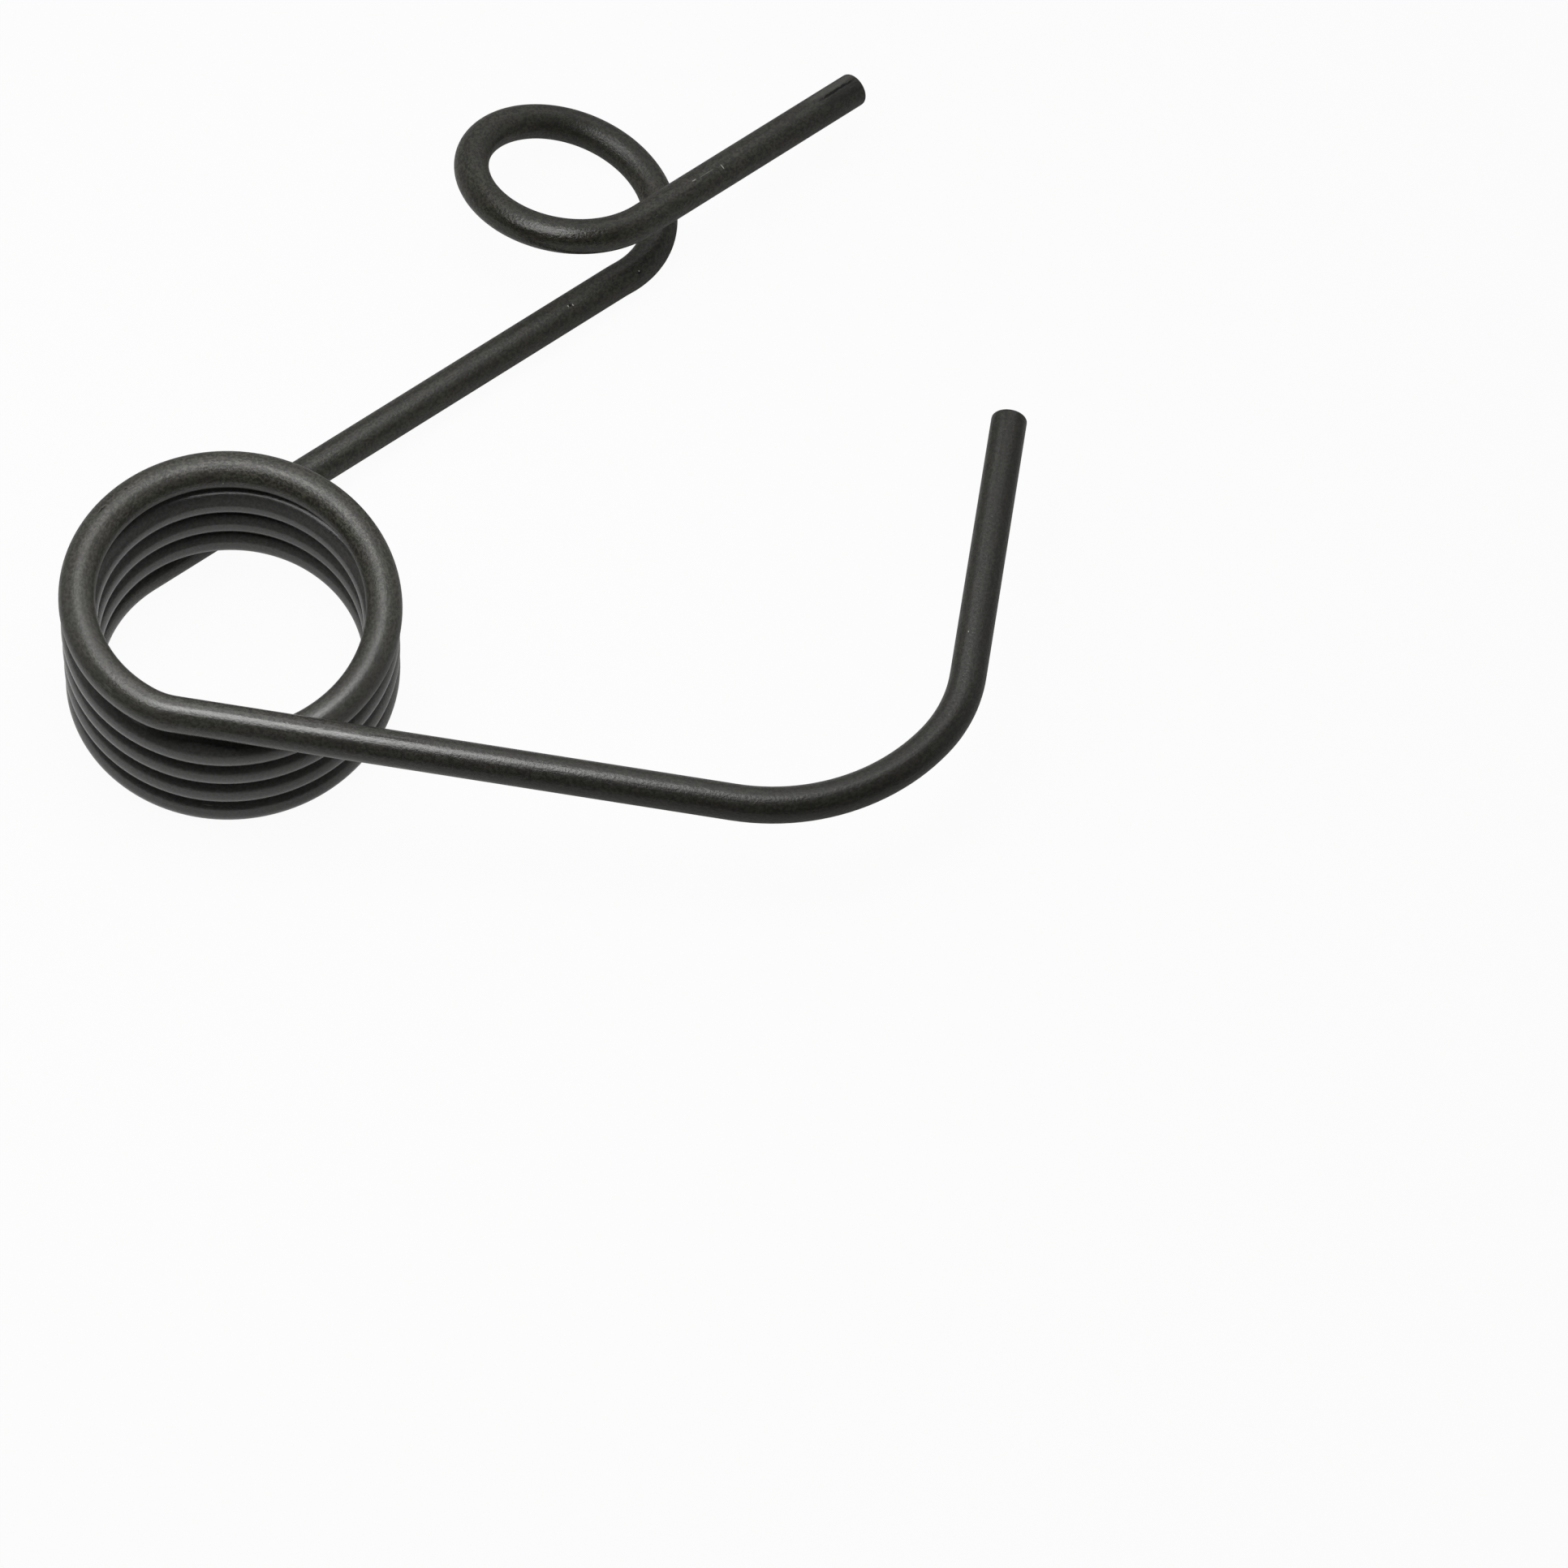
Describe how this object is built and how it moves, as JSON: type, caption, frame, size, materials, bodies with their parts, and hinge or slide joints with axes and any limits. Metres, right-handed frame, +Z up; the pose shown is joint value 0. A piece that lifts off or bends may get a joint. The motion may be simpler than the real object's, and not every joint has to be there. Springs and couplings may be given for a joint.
{
  "type": "torsion spring",
  "caption": "Close-wound torsion spring of round black wire: one leg ends in a wide hook, the other winds an open eye and runs on as a straight tail.",
  "frame": {"origin": "middle of the coil's close-wound body, on the coil's axis", "axes": "+Z is up, square to the level surface on which the spring rests; the top leg points towards +X and its hook turns to +Y; the lower leg, eye and tail run between +X and +Y; the coil's axis leans 6.4 degrees from +Z, as mount coil_seat gives it"},
  "size_m": [0.1273, 0.1363, 0.0291],
  "materials": {
    "black_wire": "black oil-tempered spring wire, satin, faint drawing lines"
  },
  "bodies": {
    "root": {"spring_wire": "black_wire"}
  },
  "joints": []
}
